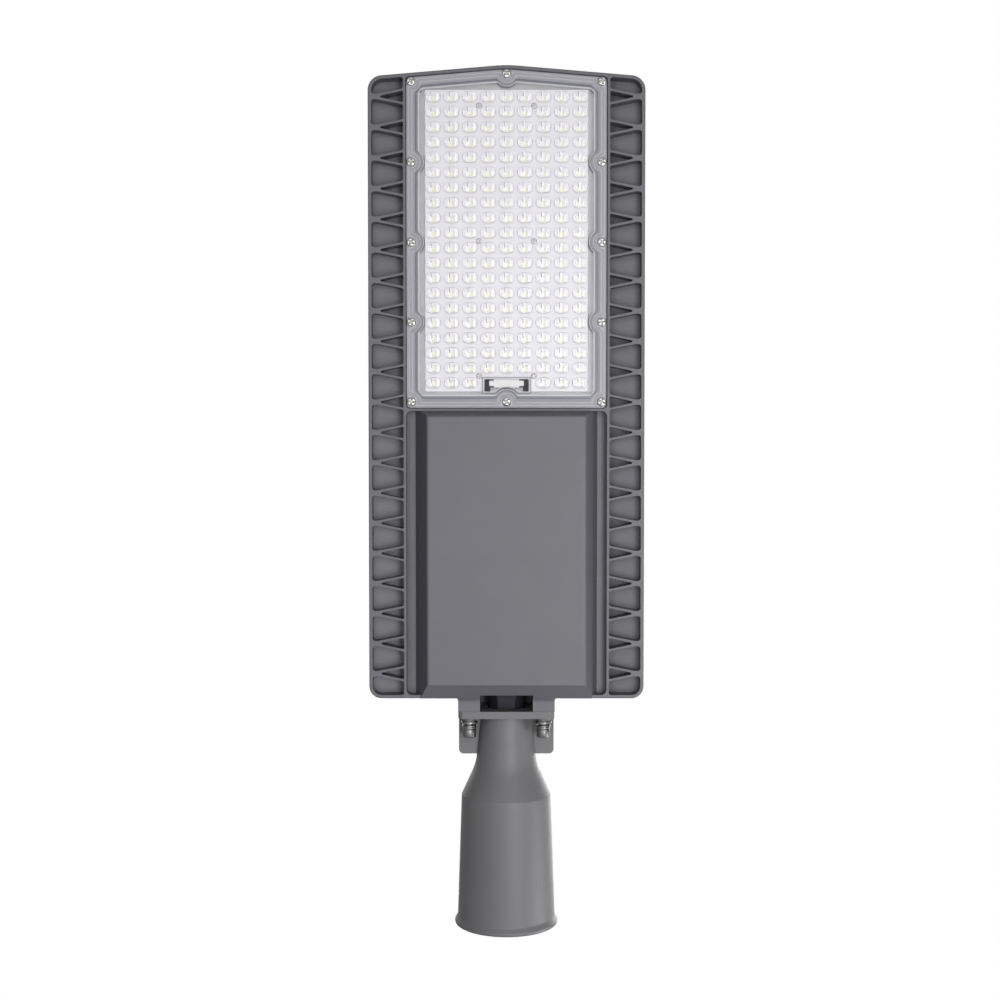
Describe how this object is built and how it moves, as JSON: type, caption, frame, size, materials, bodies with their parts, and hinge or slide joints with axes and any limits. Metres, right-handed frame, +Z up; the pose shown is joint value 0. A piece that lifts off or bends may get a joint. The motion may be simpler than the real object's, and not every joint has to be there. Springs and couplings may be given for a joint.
{
  "type": "led street light head",
  "caption": "Flat rectangular street light head with ribbed side wings, a lensed light panel, a driver box and a tubular spigot that slips over a pole end.",
  "frame": {"origin": "centre of the mouth of the spigot's bore", "axes": "+Y from the spigot's mouth along its axis to the nose of the head, +X across the head, +Z up to the sky; the light leaves towards -Z"},
  "size_m": [0.2, 0.6327, 0.0973],
  "materials": {
    "casting_paint": "die-cast aluminium with a satin dark grey powder coat, fine orange-peel texture",
    "spigot_paint": "cast aluminium with a slightly coarser neutral grey powder coat",
    "clear_lens": "clear moulded polycarbonate optic, glossy",
    "grey_rubber": "grey silicone sealing strip, matte",
    "stainless": "stainless steel, slightly brushed",
    "white_board": "aluminium-core circuit board with white solder mask",
    "phosphor": "LED package, white frame with a pale yellow phosphor window",
    "white_plastic": "white nylon and silicone insulation",
    "driver_case": "potted driver in a grey case",
    "black_nylon": "black moulded nylon",
    "black_rubber": "black rubber bush"
  },
  "bodies": {
    "root": {"housing": "casting_paint", "lens_cover": "clear_lens", "lens_gasket": "grey_rubber", "lens_screws": "stainless", "led_board": "white_board", "led_packages": "phosphor", "board_screws": "stainless", "board_connector": "white_plastic", "led_lead": "white_plastic", "led_driver": "driver_case", "driver_screws": "stainless", "terminal_block": "white_plastic", "input_lead": "white_plastic", "surge_protector": "driver_case", "earth_screw": "stainless", "driver_cover": "casting_paint", "driver_cover_gasket": "grey_rubber", "driver_cover_screws": "stainless", "spigot": "spigot_paint", "flange_bolts": "stainless", "flat_washers": "stainless", "spring_washers": "stainless", "clamp_screws": "stainless", "gland_body": "black_nylon", "gland_dome_nut": "black_nylon", "gland_seal": "black_rubber", "gland_locknut": "black_nylon"}
  },
  "joints": []
}
